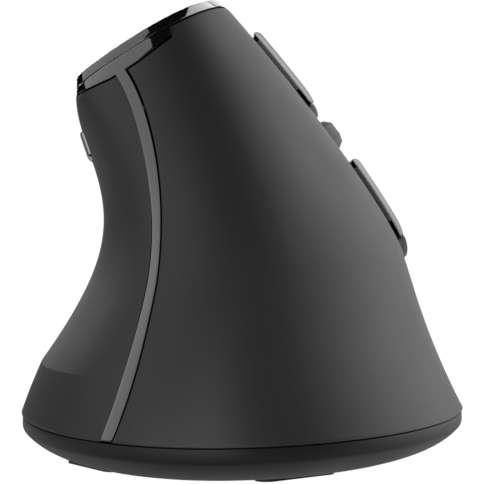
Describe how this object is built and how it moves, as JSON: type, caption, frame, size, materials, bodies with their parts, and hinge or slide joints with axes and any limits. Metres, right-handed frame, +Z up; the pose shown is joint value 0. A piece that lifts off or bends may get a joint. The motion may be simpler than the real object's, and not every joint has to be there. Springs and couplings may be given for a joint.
{
  "type": "vertical mouse",
  "caption": "Cordless vertical mouse for the right hand: tall leaning body with a thumb hollow, raised finger buttons, scroll wheel, thumb buttons and a capped top.",
  "frame": {"origin": "on the desk plane under the middle of the base rim", "axes": "+Z up, +Y forward away from the palm heel, +X towards the finger side"},
  "size_m": [0.0761, 0.1159, 0.0769],
  "materials": {
    "shell_black": "soft-touch matt",
    "trim_black": "high gloss",
    "base_black": "fine spark texture",
    "button_black": "satin",
    "wheel_rubber": "matt",
    "hub_plastic": "satin",
    "inner_plastic": "satin",
    "board_green": "solder mask",
    "chip_black": "satin",
    "lens_clear": "clear",
    "cell_wrap": "satin",
    "contact_metal": "satin",
    "foot_black": "slick"
  },
  "bodies": {
    "chassis": {"base_pan": "base_black", "battery_bay": "inner_plastic", "battery_cells": "cell_wrap", "battery_contacts": "contact_metal", "main_board": "board_green", "sensor_chip": "chip_black", "sensor_lens": "lens_clear", "power_housing": "chip_black", "palm_shell": "shell_black", "thumb_shell": "shell_black", "spine_trim": "trim_black", "top_cap": "trim_black", "inner_frame": "inner_plastic", "switch_board": "board_green", "micro_switches": "chip_black", "wheel_encoder": "chip_black", "click_switch": "chip_black", "side_board": "board_green", "side_switches": "chip_black", "dpi_board": "board_green", "dpi_switch": "chip_black", "glide_feet": "foot_black", "case_screws": "contact_metal", "board_screws": "contact_metal"},
    "battery_door": {"battery_door": "base_black"},
    "power_slider": {"power_slider": "hub_plastic"},
    "index_button": {"index_button": "button_black"},
    "middle_button": {"middle_button": "button_black"},
    "wheel_carriage": {"wheel_carriage": "hub_plastic"},
    "wheel": {"wheel_hub": "hub_plastic", "wheel_tyre": "wheel_rubber"},
    "forward_button": {"forward_button": "button_black"},
    "back_button": {"back_button": "button_black"},
    "dpi_button": {"dpi_button": "button_black"}
  },
  "joints": [
    {"name": "index_press", "type": "hinge", "parent": "chassis", "child": "index_button", "pos_m": [0.01017, 0.015, 0.05065], "axis": [-0.5945, 0, 0.8041], "range_deg": [0, 1.5], "stiffness_Nm_per_rad": 0.3, "springref_deg": -0.69},
    {"name": "middle_press", "type": "hinge", "parent": "chassis", "child": "middle_button", "pos_m": [0.01017, 0.015, 0.05065], "axis": [-0.5945, 0, 0.8041], "range_deg": [0, 1.5], "stiffness_Nm_per_rad": 0.3, "springref_deg": -0.69},
    {"name": "wheel_click", "type": "hinge", "parent": "chassis", "child": "wheel_carriage", "pos_m": [0.008, 0.0095, 0.04905], "axis": [-0.5945, 0, 0.8041], "range_deg": [0, 1.8], "stiffness_Nm_per_rad": 0.6, "springref_deg": -0.69},
    {"name": "wheel_spin", "type": "hinge", "parent": "wheel_carriage", "child": "wheel", "pos_m": [0.008, 0.026, 0.04905], "axis": [0.5945, 0, -0.8041], "continuous": true},
    {"name": "forward_press", "type": "slide", "parent": "chassis", "child": "forward_button", "axis": [0.9504, -0.0001, 0.3109], "range_m": [0, 0.0005], "stiffness_N_per_m": 1500, "springref_m": -0.0002},
    {"name": "back_press", "type": "slide", "parent": "chassis", "child": "back_button", "axis": [0.9504, -0.0001, 0.3109], "range_m": [0, 0.0005], "stiffness_N_per_m": 1500, "springref_m": -0.0002},
    {"name": "dpi_press", "type": "slide", "parent": "chassis", "child": "dpi_button", "axis": [0.5368, 0, -0.8437], "range_m": [0, 0.0004], "stiffness_N_per_m": 1500, "springref_m": -0.0002},
    {"name": "power_slide", "type": "slide", "parent": "chassis", "child": "power_slider", "axis": [0, 1, 0], "range_m": [0, 0.0025]},
    {"name": "door_swing", "type": "hinge", "parent": "chassis", "child": "battery_door", "pos_m": [-0.007, 0.0102, 0.0014], "axis": [1, 0, 0], "range_deg": [0, 80]}
  ]
}
